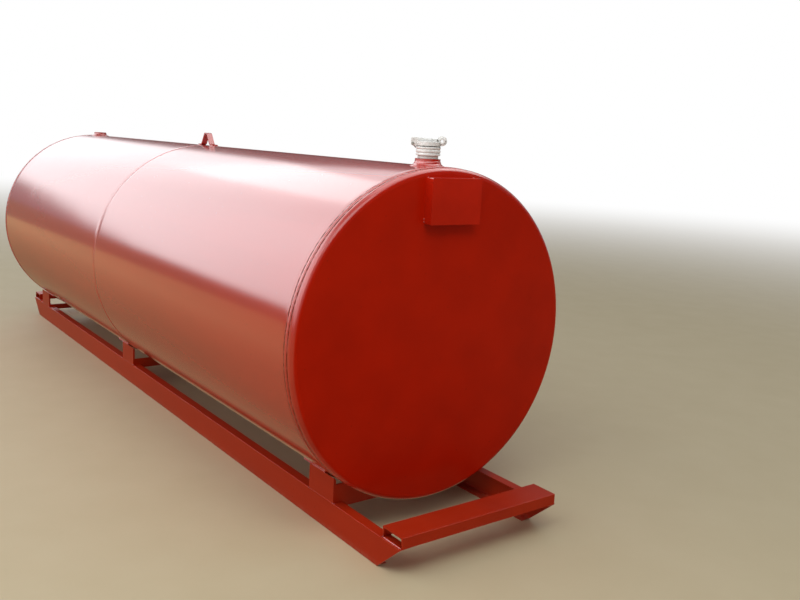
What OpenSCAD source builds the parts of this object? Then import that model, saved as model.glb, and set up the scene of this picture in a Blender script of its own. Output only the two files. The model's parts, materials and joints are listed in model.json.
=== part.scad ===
// Horizontal storage tank with flat flanged heads, welded on a channel skid
// X runs along the tank toward the fill end, Y across it, Z up from the ground

/* [Tank] */
// Outside diameter of the shell
tank_d = 1676.4; // [1500:0.1:1800]
// Length over the faces of both heads
tank_l = 5486.4; // [4600:0.1:7000]
// Plate thickness of the shell
shell_t = 4.8; // [3:0.1:10]
// Plate thickness of the flat heads
head_t = 6.4; // [4:0.1:12]
// Depth of a head's turned flange, from face to weld
flange_l = 60; // [45:1:90]
// From mid-length toward the far end, to the weld that joins the two courses
girth_off = 45; // [0:1:600]
// Outside radius of the bend between a head and its flange
knuckle_r = 30; // [15:1:40]

/* [Welds] */
// Gap between two plates that a butt weld fills
weld_gap = 3; // [1:0.5:6]
// Width of the crown of a butt weld
weld_w = 12; // [8:0.5:20]
// Height of the crown of a butt weld
weld_h = 2.5; // [1:0.1:4]
// Radius of the hollow fillet that flares from a fitting to the shell
fillet_w = 24; // [12:1:28]

/* [Skid] */
// How far the skid's beams run past the face of each head
skid_out = 406.8; // [250:0.1:900]
// Width over the outer faces of the two beams
skid_w = 984; // [800:1:1100]
// Depth of the channel section
channel_d = 152.4; // [120:0.1:180]
// Flange width of the channel section
channel_b = 54.8; // [45:0.1:70]
// Web thickness of the channel section
channel_web = 8; // [5:0.1:12]
// Flange thickness of the channel section at half width
channel_flange = 8.7; // [6:0.1:12]
// Radius of the channel's two heels
heel_r = 2.5; // [1:0.5:5]
// How far a beam's bottom is cut back from its tip
tip_cut = 172; // [80:1:220]
// How far the shell hangs below the tops of the beams
tank_drop = 14.7; // [5:0.1:25]
// Step from a beam's outer face in to the end of an end channel
end_inset = 10; // [0:1:40]

/* [Saddles] */
// Length of a saddle plate along the tank
saddle_l = 232; // [160:1:300]
// Thickness of a saddle plate
saddle_t = 12.7; // [8:0.1:20]
// Radius of a saddle plate's upper corners
saddle_corner = 18; // [5:1:30]
// From the near head's face in to the middle of the near saddle
near_saddle_in = 271; // [200:1:600]
// From mid-length toward the far end, to the middle saddle
middle_saddle_off = 370; // [200:1:600]
// From the far head's face in to the middle of the far saddle
far_saddle_in = 17; // [10:1:60]
// Height of the near cross plate's ends above the beams
near_cross_h = 97; // [40:1:120]
// Height of the middle cross plate's ends above the beams
middle_cross_h = 46; // [20:1:90]
// Height of the far cross plate's ends above the beams
far_cross_h = 22; // [10:1:50]
// Thickness of a cross plate
cross_t = 9.5; // [5:0.1:14]
// Depth of a cross plate below the lowest line of the shell
cross_sole = 10; // [6:1:40]

/* [Wear pads] */
// Length of a wear pad along the tank
pad_l = 208; // [150:1:260]
// Width of a wear pad round the tank
pad_w = 104; // [60:1:150]
// Thickness of a wear pad
pad_t = 9.5; // [5:0.1:14]
// Shift of the near pads from their saddle toward the far end
near_pad_shift = 74; // [0:1:120]
// Shift of the middle pads from their saddle toward the far end
middle_pad_shift = 105; // [0:1:120]
// From the far head's weld in to the end of the far pads
far_pad_gap = 26; // [15:1:60]

/* [Head box] */
// Width of the box on the near head
box_w = 305; // [200:1:340]
// Height of the box on the near head
box_h = 220; // [120:1:240]
// Depth of the box on the near head
box_depth = 55; // [30:1:90]
// Thickness of the box's sheet
box_t = 3; // [1.5:0.1:6]
// Radius of the box's upright and level bends
box_r = 5; // [4:1:12]
// Height of the box's middle above the tank's axis
box_up = 681.5; // [550:0.5:690]
// Step of the box's middle to the side
box_side = 6; // [-20:1:20]

/* [Fill fitting] */
// From the near head's face in to the fill fitting
fill_in = 182; // [150:1:500]
// Outside diameter of the coupling on the shell
coupling_d = 127; // [116:1:150]
// Height of the coupling above the top of the shell
coupling_h = 34; // [24:1:50]
// Thread diameter that the adapter and the coupling share
thread_d = 102.4; // [90:0.1:108]
// Depth of thread that holds the adapter
thread_l = 22; // [10:1:24]
// Bare thread that shows between the coupling and the adapter's body
thread_bare = 16; // [8:1:30]
// Outside diameter of the adapter's body
adapter_d = 121; // [112:1:130]
// Height of the adapter's body
adapter_h = 42; // [30:1:60]
// Inside diameter of the adapter
adapter_bore = 92; // [76:1:96]
// Depth of the grooves round the adapter
groove_depth = 3; // [1:0.5:5]
// Thickness of the gasket under the lid
gasket_t = 2.5; // [1.5:0.1:4]
// Turn of the lid's long axis from the tank's length
fill_turn = 48; // [0:1:90]

/* [Fill lid] */
// Diameter of the lid's round plate
lid_d = 116; // [108:1:126]
// Height of the lid's round plate
lid_h = 22; // [16:1:30]
// Width of the bar across the lid
bar_w = 34; // [24:1:44]
// Height of the bar above the round plate, at its hinge end
bar_h = 19; // [12:1:24]
// How far the top of the bar falls toward the lock ring
bar_fall = 5; // [0:0.5:8]
// Radius of the upper corner of the bar's hinge end
bar_corner = 8; // [4:1:12]
// Radius of the bar's knuckle round the hinge pin
knuckle_rad = 10; // [9:0.5:12]
// Gap from the adapter's body to the round of its hinge ear
hinge_gap = 6.5; // [4:0.5:10]
// Radius of the adapter's hinge ear
ear_r = 9; // [8:0.5:11]
// Thickness of the ear, which stands in the fork of the lid's bar
ear_t = 12; // [8:0.5:16]
// Diameter of the hinge pin
pin_d = 8; // [6:0.5:10]
// Outside diameter of the lock ring
ring_d = 49; // [36:1:54]
// Bore of the lock ring
ring_bore = 13; // [10:1:24]
// Thickness of the lock ring
ring_t = 16; // [8:1:24]
// Diameter of the boss round the lock ring's bore
boss_d = 34; // [28:1:40]
// Height of the boss on each face of the lock ring
boss_h = 3; // [1:0.5:6]
// Distance of the lock ring from the fitting's axis
ring_out = 65; // [60:1:72]

/* [Lifting lug] */
// Width of the lug's strap across the tank
lug_w = 40; // [30:1:80]
// Thickness of the lug's strap
lug_t = 9.5; // [6:0.1:16]
// Height of the lug above the shell
lug_h = 91; // [60:1:130]
// Length of the flat sole under each of the lug's feet
lug_foot = 33; // [20:1:60]
// Length of the lug's flat top between its bends
lug_top = 14; // [8:1:40]
// Outside radius of the lug's upper bends
lug_bend = 26; // [18:1:34]
// Lean of the lug's legs from upright
lug_lean = 34; // [10:1:40]
// Outside radius of the bends between the lug's legs and feet
lug_foot_r = 30; // [15:1:40]

/* [Top bung] */
// From the far head's face in to the bung
bung_in = 203; // [160:1:500]
// Outside diameter of the bung
bung_d = 108; // [96:1:130]
// Height of the bung above the top of the shell
bung_h = 30; // [20:1:45]
// Bore of the bung
bung_bore = 85.4; // [60:0.1:90]
// Step from a fitting's bore out to the edge of the hole in the shell
hole_step = 2; // [0.5:0.5:5]

/* [Clearances] */
// Gap between a cross plate's notch and the edge of a beam's flange
cross_play = 1; // [0.5:0.5:4]
// Radial play of the hinge pin in the lid's knuckle
pin_play = 0.05; // [0.02:0.01:0.1]
// Step from the adapter's bore and its body to the edges of the gasket
gasket_play = 1; // [0.5:0.5:2]
// Side play of the ear in the fork
side_play = 0.5; // [0.3:0.1:1]
// Height of the closed lid above its gasket
lid_play = 0.5; // [0.3:0.1:1]
// Air round the ear in the fork as the lid turns
swing_play = 6; // [5:0.5:8]

/* [Colours] */
// Colour of the red oxide paint
paint_color = "#9A1C0C"; // [#9A1C0C, #8A3018, #6E2A1C]
// Colour of the bare cast fitting
cast_color = "#D8D4C8"; // [#D8D4C8, #B8B8B4]
// Colour of the gasket
gasket_color = "#202020"; // [#202020, #403830]

/* [Hidden] */
$fn = 96;
// Facets round the tank, on every face that follows its curve
tank_fn = 720;
// Slack past a surface, so that cuts go right through
eps = 1;
tank_r = tank_d / 2;
face_x = tank_l / 2;
weld_x = face_x - flange_l;
girth_x = -girth_off;
skid_l = tank_l + 2 * skid_out;
beam_y = skid_w / 2;
axis_z = channel_d + tank_r - tank_drop;
top_z = axis_z + tank_r;
// Angle of a wear pad's outer edge from straight down, flush with the saddle plate
pad_out_a = asin(beam_y / (tank_r + pad_t));
pad_a = pad_w / tank_r * 180 / PI;
near_saddle_x = face_x - near_saddle_in;
middle_saddle_x = -middle_saddle_off;
far_saddle_x = -face_x + far_saddle_in;
near_pad_x = near_saddle_x - near_pad_shift;
middle_pad_x = middle_saddle_x - middle_pad_shift;
far_pad_x = -weld_x + far_pad_gap + pad_l / 2;
fill_x = face_x - fill_in;
bung_x = -face_x + bung_in;
hinge_out = adapter_d / 2 + hinge_gap + ear_r;
// Height of each of the adapter's three lands and two grooves
land_h = adapter_h / 5;
// Levels of the fill fitting above the top of the shell
body_z = coupling_h + thread_bare;
seat_z = body_z + adapter_h;
lid_z = seat_z + gasket_t + lid_play;
bar_z = lid_z + lid_h;
hinge_z = lid_z + knuckle_rad;
ring_z = seat_z + swing_play + ring_d / 2;

// A tube along X from x0 to x1
module tube_x(x0, x1, r, wall) {
    translate([x0, 0, axis_z]) rotate([0, 90, 0]) difference() {
        cylinder(h = x1 - x0, r = r, $fn = tank_fn);
        translate([0, 0, -eps]) cylinder(h = x1 - x0 + 2 * eps, r = r - wall, $fn = tank_fn);
    }
}

// A full round bar along X that stands for the shell's outside
module shell_body(r) {
    translate([-tank_l, 0, axis_z]) rotate([0, 90, 0])
        cylinder(h = 2 * tank_l, r = r, $fn = tank_fn);
}

// A hole through the top of the shell under a fitting, a little wider than its bore
module top_hole(x, bore) {
    translate([x, 0, axis_z]) cylinder(h = tank_r + eps, d = bore + 2 * hole_step);
}

module near_shell_course() {
    color(paint_color) difference() {
        tube_x(girth_x + weld_gap / 2, weld_x - weld_gap / 2, tank_r, shell_t);
        top_hole(fill_x, thread_d);
    }
}

module far_shell_course() {
    color(paint_color) difference() {
        tube_x(-weld_x + weld_gap / 2, girth_x - weld_gap / 2, tank_r, shell_t);
        top_hole(bung_x, bung_bore);
    }
}

// Section of a flanged head: plate, bend and flange, with the face at height zero
module head_section() {
    flange_top = flange_l - weld_gap / 2;
    square([tank_r - knuckle_r, head_t]);
    translate([tank_r - head_t, knuckle_r]) square([head_t, flange_top - knuckle_r]);
    translate([tank_r - knuckle_r, knuckle_r]) intersection() {
        difference() {
            circle(r = knuckle_r);
            circle(r = knuckle_r - head_t);
        }
        translate([0, -knuckle_r]) square(knuckle_r);
    }
}

module flanged_head() {
    color(paint_color) rotate_extrude($fn = tank_fn) head_section();
}

module near_head() {
    translate([face_x, 0, axis_z]) rotate([0, -90, 0]) flanged_head();
}

module far_head() {
    translate([-face_x, 0, axis_z]) rotate([0, 90, 0]) flanged_head();
}

// A butt weld round the tank, filling its gap and crowned outside
module butt_weld(x, wall) {
    crown_r = (weld_w * weld_w / 4 + weld_h * weld_h) / (2 * weld_h);
    color(paint_color) translate([x, 0, axis_z]) rotate([0, 90, 0]) rotate_extrude($fn = tank_fn) {
        translate([tank_r - wall, -weld_gap / 2]) square([wall, weld_gap]);
        intersection() {
            translate([tank_r + weld_h - crown_r, 0]) circle(r = crown_r);
            translate([tank_r, -weld_w]) square([weld_w, 2 * weld_w]);
        }
    }
}

module near_head_weld() { butt_weld(weld_x, shell_t); }
module far_head_weld() { butt_weld(-weld_x, shell_t); }
module girth_weld() { butt_weld(girth_x, shell_t); }

// Section of a rolled channel, web along X at height zero, flanges up, inner faces sloped 1 in 6
module channel_section() {
    slope = 1 / 6;
    half = channel_d / 2;
    toe = channel_flange - slope * channel_b / 2;
    root = channel_flange + slope * (channel_b / 2 - channel_web);
    toe_r = toe * 0.6;
    difference() {
        translate([-half, 0]) square([channel_d, channel_b]);
        polygon([
            [-half + root, channel_web], [half - root, channel_web],
            [half - toe, channel_b], [half - toe + slope * eps, channel_b + eps],
            [-half + toe - slope * eps, channel_b + eps], [-half + toe, channel_b]
        ]);
        for (s = [-1, 1]) translate([s * (half - toe), channel_b - toe_r]) toe_cut(s, toe_r);
        for (s = [-1, 1]) translate([s * (half - heel_r), heel_r]) heel_cut(s, heel_r);
    }
    for (s = [-1, 1]) translate([s * (half - root), channel_web]) root_fillet(s, channel_web);
}

// Corner taken off the inside of a flange's toe
module toe_cut(s, r) {
    difference() {
        translate([s > 0 ? -eps : -r, 0]) square([r + eps, r + eps]);
        translate([s * r, 0]) circle(r = r);
    }
}

// Corner taken off the outside of the bend between web and flange
module heel_cut(s, r) {
    difference() {
        translate([s > 0 ? 0 : -r - eps, -r - eps]) square([r + eps, r + eps]);
        circle(r = r);
    }
}

// Fillet between the web and a flange
module root_fillet(s, r) {
    difference() {
        translate([s > 0 ? -r : 0, 0]) square(r);
        translate([-s * r, r]) circle(r = r);
    }
}

// A skid beam with its web outward at side * beam_y and both ends cut on a slant
module skid_beam(side) {
    color(paint_color) intersection() {
        translate([-skid_l / 2, side * beam_y, channel_d / 2])
            rotate([0, 0, side > 0 ? 0 : 180]) translate([side > 0 ? 0 : -skid_l, 0, 0])
            rotate([90, 0, 90]) linear_extrude(height = skid_l) rotate([0, 0, 90]) channel_section();
        translate([0, skid_w, 0]) rotate([90, 0, 0]) linear_extrude(height = 2 * skid_w) polygon([
            [-skid_l / 2 + tip_cut, 0], [skid_l / 2 - tip_cut, 0],
            [skid_l / 2, channel_d], [-skid_l / 2, channel_d]
        ]);
    }
}

module left_skid_beam() { skid_beam(-1); }
module right_skid_beam() { skid_beam(1); }

// A cross channel laid web up on the beams, level with their tips
module end_channel(side) {
    length = skid_w - 2 * end_inset;
    x = side * (skid_l / 2 - channel_d / 2);
    color(paint_color) translate([x, length / 2, channel_d + channel_b]) rotate([90, 0, 0])
        linear_extrude(height = length) mirror([0, 1]) channel_section();
}

module near_end_channel() { end_channel(1); }
module far_end_channel() { end_channel(-1); }

// An upright plate on a beam, its top cut to the curve of the wear pads
module saddle_plate(x, side) {
    top = axis_z - tank_r * cos(asin(beam_y / (tank_r + pad_t)));
    height = top - channel_d;
    color(paint_color) difference() {
        translate([x - saddle_l / 2, side * (beam_y - saddle_t / 2), channel_d])
            rotate([90, 0, 0]) translate([0, 0, -saddle_t / 2])
            linear_extrude(height = saddle_t) plate_outline(height);
        shell_body(tank_r + pad_t);
    }
}

// Outline of a saddle plate with rounded upper corners
module plate_outline(height) {
    square([saddle_l, height - saddle_corner]);
    translate([saddle_corner, 0]) square([saddle_l - 2 * saddle_corner, height]);
    for (u = [saddle_corner, saddle_l - saddle_corner])
        translate([u, height - saddle_corner]) circle(r = saddle_corner);
}

module near_left_saddle_plate() { saddle_plate(near_saddle_x, -1); }
module near_right_saddle_plate() { saddle_plate(near_saddle_x, 1); }
module middle_left_saddle_plate() { saddle_plate(middle_saddle_x, -1); }
module middle_right_saddle_plate() { saddle_plate(middle_saddle_x, 1); }
module far_left_saddle_plate() { saddle_plate(far_saddle_x, -1); }
module far_right_saddle_plate() { saddle_plate(far_saddle_x, 1); }

// A curved pad on the shell above a saddle plate
module wear_pad(x, side) {
    start = side > 0 ? -90 + pad_out_a - pad_a : -90 - pad_out_a;
    color(paint_color) translate([x - pad_l / 2, 0, axis_z]) rotate([90, 0, 90])
        rotate([0, 0, start]) linear_extrude(height = pad_l) pad_section();
}

// Section of a pad from angle zero up to pad_a
module pad_section() {
    far = 2 * tank_r;
    difference() {
        circle(r = tank_r + pad_t, $fn = tank_fn);
        circle(r = tank_r, $fn = tank_fn);
        polygon([[0, 0], [far * cos(pad_a), far * sin(pad_a)], [-far, far], [-far, -far], [far, -far], [far, 0]]);
    }
}

module near_left_wear_pad() { wear_pad(near_pad_x, -1); }
module near_right_wear_pad() { wear_pad(near_pad_x, 1); }
module middle_left_wear_pad() { wear_pad(middle_pad_x, -1); }
module middle_right_wear_pad() { wear_pad(middle_pad_x, 1); }
module far_left_wear_pad() { wear_pad(far_pad_x, -1); }
module far_right_wear_pad() { wear_pad(far_pad_x, 1); }

// A plate across the skid at a saddle's near edge, hung between the beams and cut to the shell
module cross_plate(x, height) {
    outer = beam_y - saddle_t;
    inner = beam_y - channel_b - cross_play;
    low = axis_z - tank_r - cross_sole;
    color(paint_color) translate([x + saddle_l / 2 - cross_t, 0, 0]) rotate([90, 0, 90])
        linear_extrude(height = cross_t) difference() {
            union() {
                translate([-outer, channel_d]) square([2 * outer, height]);
                translate([-inner, low]) square([2 * inner, channel_d + height - low]);
            }
            translate([0, axis_z]) circle(r = tank_r, $fn = tank_fn);
        }
}

module near_cross_plate() { cross_plate(near_saddle_x, near_cross_h); }
module middle_cross_plate() { cross_plate(middle_saddle_x, middle_cross_h); }
module far_cross_plate() { cross_plate(far_saddle_x, far_cross_h); }

// A rectangle about the origin with round corners
module round_rect(w, h, r) {
    square([w - 2 * r, h], center = true);
    square([w, h - 2 * r], center = true);
    for (u = [-1, 1], v = [-1, 1]) translate([u * (w / 2 - r), v * (h / 2 - r)]) circle(r = r);
}

module head_box() {
    color(paint_color) translate([face_x, box_side, axis_z + box_up]) rotate([90, 0, 90]) difference() {
        linear_extrude(height = box_depth) round_rect(box_w, box_h, box_r);
        translate([0, 0, -eps]) linear_extrude(height = box_depth - box_t + eps)
            round_rect(box_w - 2 * box_t, box_h - 2 * box_t, box_r - box_t);
    }
}

// A coupling welded on top of the shell, cut to its curve below
module top_coupling(x, d, bore, height) {
    color(paint_color) difference() {
        translate([x, 0, top_z - tank_r / 10]) cylinder(h = height + tank_r / 10, d = d);
        shell_body(tank_r);
        translate([x, 0, axis_z]) cylinder(h = tank_r + height + eps, d = bore);
    }
    color(paint_color) difference() {
        translate([x, 0, top_z]) rotate_extrude() fillet_section(d / 2);
        shell_body(tank_r);
    }
}

// Half section of the hollow fillet round a fitting of radius r, with its toe run down past the shell
module fillet_section(r) {
    toe = 0.8 * fillet_w;
    deep = fillet_w / 2;
    difference() {
        polygon([
            [r - eps, -deep], [r + toe + deep, -deep], [r + toe, 0], [r + toe, fillet_w], [r - eps, fillet_w]
        ]);
        translate([r + fillet_w, fillet_w]) circle(r = fillet_w);
    }
}

module fill_coupling() { top_coupling(fill_x, coupling_d, thread_d, coupling_h); }
module top_bung() { top_coupling(bung_x, bung_d, bung_bore, bung_h); }

// Moves its children to the fill fitting, at the top of the shell, with X along the lid
module at_fill() {
    translate([fill_x, 0, top_z]) rotate([0, 0, fill_turn]) children();
}

// Half section of the adapter's thread and body with its two grooves
module adapter_section() {
    r = adapter_d / 2;
    wall = (adapter_d - adapter_bore) / 2;
    translate([adapter_bore / 2, coupling_h - thread_l])
        square([(thread_d - adapter_bore) / 2, thread_l + thread_bare + land_h]);
    difference() {
        translate([adapter_bore / 2, body_z]) square([wall, adapter_h]);
        for (k = [1, 3]) translate([r, body_z + (k + 0.5) * land_h]) circle(r = groove_depth);
    }
}

// The adapter's ear, seen from the side, which springs from the body's top land
module ear_outline() {
    foot = (adapter_d + adapter_bore) / 4;
    knee = adapter_d / 2 + hinge_gap / 2;
    translate([-hinge_out, hinge_z]) circle(r = ear_r);
    polygon([
        [-hinge_out - ear_r, hinge_z], [-knee, seat_z - land_h], [-foot, seat_z - land_h],
        [-foot, seat_z], [-hinge_out + ear_r, seat_z], [-hinge_out + ear_r, hinge_z]
    ]);
}

module fill_adapter() {
    color(cast_color) at_fill() {
        rotate_extrude() adapter_section();
        difference() {
            rotate([90, 0, 0]) translate([0, 0, -ear_t / 2]) linear_extrude(height = ear_t) ear_outline();
            hinge_bore(pin_d + 2 * pin_play);
        }
    }
}

// The hinge's axis as a round bar
module hinge_bore(d) {
    translate([-hinge_out, bar_w * 2, hinge_z]) rotate([90, 0, 0]) cylinder(h = bar_w * 4, d = d);
}

module fill_gasket() {
    color(gasket_color) at_fill() translate([0, 0, seat_z]) difference() {
        cylinder(h = gasket_t, r = adapter_d / 2 - gasket_play);
        translate([0, 0, -eps]) cylinder(h = gasket_t + 2 * eps, d = adapter_bore + 2 * gasket_play);
    }
}

// Side outline of the bar, from its square hinge end with the knuckle below to the lock ring
module bar_outline() {
    end = -hinge_out - knuckle_rad;
    top = bar_z + bar_h;
    translate([-hinge_out, hinge_z]) circle(r = knuckle_rad);
    difference() {
        polygon([
            [end, hinge_z], [-hinge_out, hinge_z], [-hinge_out, lid_z], [-lid_d / 4, lid_z], [-lid_d / 4, bar_z - eps],
            [ring_out - ring_d / 2, bar_z - eps], [ring_out - ring_d / 2, top - bar_fall], [-lid_d / 2, top], [end, top]
        ]);
        translate([end + bar_corner, top - bar_corner]) difference() {
            translate([-bar_corner - eps, 0]) square([bar_corner + eps, bar_corner + eps]);
            circle(r = bar_corner);
        }
    }
}

module fill_lid() {
    color(cast_color) at_fill() difference() {
        union() {
            translate([0, 0, lid_z]) cylinder(h = lid_h, d = lid_d);
            rotate([90, 0, 0]) translate([0, 0, -bar_w / 2]) linear_extrude(height = bar_w) bar_outline();
            across_ring(ring_t, ring_d);
            across_ring(ring_t + 2 * boss_h, boss_d);
        }
        fork_slot();
        across_ring(2 * bar_w, ring_bore);
        hinge_bore(pin_d + 2 * pin_play);
        translate([0, 0, lid_z - eps]) cylinder(h = lid_h / 3 + eps, d = adapter_bore);
    }
}

// A round bar on the lock ring's axis, its length centred on the lid's middle
module across_ring(length, d) {
    translate([ring_out, length / 2, ring_z]) rotate([90, 0, 0]) cylinder(h = length, d = d);
}

// Slot that forks the end of the bar round the ear, with a roof left above it
module fork_slot() {
    deep = ear_r + swing_play;
    width = ear_t + 2 * side_play;
    translate([-hinge_out - 2 * deep, -width / 2, lid_z - eps])
        cube([3 * deep, width, hinge_z - lid_z + deep + eps]);
}

module lid_hinge_pin() {
    reach = bar_w / 2 + side_play;
    color(cast_color) at_fill() translate([-hinge_out, reach, hinge_z]) rotate([90, 0, 0]) {
        cylinder(h = 2 * reach, d = pin_d);
        translate([0, 0, -pin_d / 3]) cylinder(h = pin_d / 3, d = pin_d * 1.6);
        translate([0, 0, 2 * reach]) cylinder(h = pin_d / 3, d = pin_d * 1.6);
    }
}

// Points along an arc about (cx, cz) from angle a0 to a1
function arc(cx, cz, r, a0, a1, n = 8) =
    [for (i = [0:n]) let (a = a0 + (a1 - a0) * i / n) [cx + r * cos(a), cz + r * sin(a)]];

// Side face of a leg, as the distance from the lug's middle at height z, for a bend of radius r
function leg_x(r, z) =
    lug_top / 2 + r * cos(lug_lean) + (lug_h - lug_bend + r * sin(lug_lean) - z) * tan(lug_lean);

// The right half of the lug's two bends, from the leg up to the top
function bend(r) = arc(lug_top / 2, lug_h - lug_bend, r, lug_lean, 90);

function mirrored(points) = [for (p = points) [-p[0], p[1]]];
function reversed(points) = [for (i = [len(points) - 1:-1:0]) points[i]];

// Distance from the lug's middle to where a foot's flat sole starts
function foot_x() = leg_x(lug_bend, lug_t) + lug_foot_r * tan(45 - lug_lean / 2);

// The right half of the lower bends, from the foot up to the leg
function foot_bend(r) = arc(foot_x(), lug_t + lug_foot_r, r, 270, 180 + lug_lean);

// Side outline of the bent strap: feet, lower bends, legs and flat top
module lug_outline(sole) {
    toe = foot_x() + lug_foot;
    half = concat([[toe, sole], [toe, lug_t]], foot_bend(lug_foot_r), bend(lug_bend));
    inner = concat([[foot_x(), sole]], foot_bend(lug_foot_r + lug_t), bend(lug_bend - lug_t));
    polygon(concat(half, reversed(mirrored(half)), mirrored(inner), reversed(inner)));
}

module lifting_lug() {
    sag = tank_r - sqrt(tank_r * tank_r - lug_w * lug_w / 4);
    color(paint_color) difference() {
        translate([girth_x, lug_w / 2, top_z]) rotate([90, 0, 0])
            linear_extrude(height = lug_w) lug_outline(-2 * sag);
        shell_body(tank_r);
    }
}

near_shell_course();
far_shell_course();
near_head();
far_head();
near_head_weld();
far_head_weld();
girth_weld();
left_skid_beam();
right_skid_beam();
near_end_channel();
far_end_channel();
near_left_saddle_plate();
near_right_saddle_plate();
middle_left_saddle_plate();
middle_right_saddle_plate();
far_left_saddle_plate();
far_right_saddle_plate();
near_left_wear_pad();
near_right_wear_pad();
middle_left_wear_pad();
middle_right_wear_pad();
far_left_wear_pad();
far_right_wear_pad();
near_cross_plate();
middle_cross_plate();
far_cross_plate();
head_box();
fill_coupling();
fill_adapter();
fill_gasket();
fill_lid();
lid_hinge_pin();
lifting_lug();
top_bung();
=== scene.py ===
"""Dresses a skid-mounted storage tank: paint, weld beads, the cast fill fitting, floor, light and camera."""
from __future__ import annotations

import json
import logging
import math
import random
from contextlib import contextmanager
from dataclasses import dataclass, field
from enum import Enum
from typing import Iterable, Iterator, Sequence

import bmesh
import bpy
from bpy.types import Material, Node, NodeSocket as Socket, NodeTree, Object
from mathutils import Matrix, Vector

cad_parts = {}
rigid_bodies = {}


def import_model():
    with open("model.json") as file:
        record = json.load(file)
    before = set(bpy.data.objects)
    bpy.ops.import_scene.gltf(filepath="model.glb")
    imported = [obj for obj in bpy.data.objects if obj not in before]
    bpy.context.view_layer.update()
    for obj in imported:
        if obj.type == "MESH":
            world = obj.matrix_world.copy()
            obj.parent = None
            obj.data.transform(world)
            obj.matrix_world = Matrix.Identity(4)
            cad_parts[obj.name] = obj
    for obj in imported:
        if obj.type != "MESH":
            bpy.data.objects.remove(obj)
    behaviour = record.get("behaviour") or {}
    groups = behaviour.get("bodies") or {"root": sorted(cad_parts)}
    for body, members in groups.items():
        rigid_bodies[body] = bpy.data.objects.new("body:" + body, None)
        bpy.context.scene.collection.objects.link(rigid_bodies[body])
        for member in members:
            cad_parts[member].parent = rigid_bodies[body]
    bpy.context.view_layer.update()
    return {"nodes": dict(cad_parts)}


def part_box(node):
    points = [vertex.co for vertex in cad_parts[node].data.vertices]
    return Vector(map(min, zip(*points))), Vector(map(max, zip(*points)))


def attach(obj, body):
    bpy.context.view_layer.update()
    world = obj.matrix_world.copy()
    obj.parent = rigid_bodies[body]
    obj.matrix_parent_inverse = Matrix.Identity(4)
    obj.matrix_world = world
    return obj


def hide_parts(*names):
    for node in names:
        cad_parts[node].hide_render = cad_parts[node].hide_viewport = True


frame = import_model()
SHOP = logging.getLogger("tank_shop")
MM = 0.001
BEAD_EDGE_DEG = 50.0
ALL_SMOOTH_DEG = 180.0
FEWEST_RIPPLES = 2

# One ripple of a weld: its foot, the way the bead runs and the way its crown faces
Station = tuple[Vector, Vector, Vector]


# Sizes

@dataclass(frozen=True)
class TankSizes:
    """Sizes of the tank that its CAD nodes share, in metres."""

    radius: float = 838.2 * MM
    axis_z: float = 975.9 * MM
    face_x: float = 2743.2 * MM
    weld_x: float = 2683.2 * MM
    girth_x: float = -45.0 * MM
    knuckle: float = 30.0 * MM
    beam_y: float = 492.0 * MM
    beam_top: float = 152.4 * MM
    beam_flange: float = 54.8 * MM
    pad_inner_deg: float = 28.37
    pad_outer_deg: float = 35.48
    saddle_t: float = 12.7 * MM

    @property
    def top_z(self) -> float:
        """Height of the shell's highest line."""
        return self.axis_z + self.radius

    def on_shell(self, x: float, degrees: float, lift: float = 0.0) -> Vector:
        """A point of the shell's outside.

        Args:
            x: place along the tank.
            degrees: angle from straight down toward +Y.
            lift: distance outward from the surface.

        Returns:
            The point in metres.
        """
        a = math.radians(degrees)
        r = self.radius + lift
        return Vector((x, r * math.sin(a), self.axis_z - r * math.cos(a)))


TANK = TankSizes()


class Side(Enum):
    """The two beams of the skid, by the sign of their Y."""

    LEFT = -1
    RIGHT = 1


class Saddle(Enum):
    """The three saddles, by the first word of their nodes' names."""

    NEAR = "near"
    MIDDLE = "middle"
    FAR = "far"


# Shaping

def clear_selection() -> None:
    """Leaves nothing selected and no mesh in edit mode."""
    if bpy.context.object and bpy.context.object.mode != "OBJECT":
        bpy.ops.object.mode_set(mode="OBJECT")
    bpy.ops.object.select_all(action="DESELECT")


def unit(x: float, y: float, z: float) -> Vector:
    """A direction of length one."""
    return Vector((x, y, z)).normalized()


def pick(piece: Object) -> None:
    """Selects one piece alone and makes it active.

    Args:
        piece: the piece.
    """
    clear_selection()
    piece.select_set(True)
    bpy.context.view_layer.objects.active = piece


def start_piece(name: str) -> Object:
    """Names the primitive that was just added.

    Args:
        name: name of the object and its mesh.

    Returns:
        The primitive.
    """
    piece = bpy.context.object
    piece.name = piece.data.name = name
    return piece


@contextmanager
def whole_mesh(piece: Object) -> Iterator[None]:
    """Opens a piece in edit mode with all of its mesh selected, and closes it again.

    Args:
        piece: the piece.

    Yields:
        Nothing, while the mesh is open.
    """
    pick(piece)
    bpy.ops.object.mode_set(mode="EDIT")
    bpy.ops.mesh.select_all(action="SELECT")
    yield
    bpy.ops.object.mode_set(mode="OBJECT")


def apply_modifier(piece: Object, kind: str, **settings: object) -> None:
    """Adds a modifier with its settings and applies it.

    Args:
        piece: the piece to change.
        kind: Blender's name of the modifier.
        settings: values of its properties.
    """
    pick(piece)
    made = piece.modifiers.new(kind.title(), kind)
    for name, value in settings.items():
        setattr(made, name, value)
    bpy.ops.object.modifier_apply(modifier=made.name)


def settle(piece: Object, angle: float) -> Object:
    """Puts a piece's place into its mesh and smooths it up to an angle.

    Args:
        piece: the piece to finish.
        angle: edges sharper than this many degrees stay sharp.

    Returns:
        The same piece.
    """
    pick(piece)
    bpy.ops.object.transform_apply(location=True, rotation=True, scale=True)
    bpy.ops.object.shade_smooth_by_angle(angle=math.radians(angle))
    return piece


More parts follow.
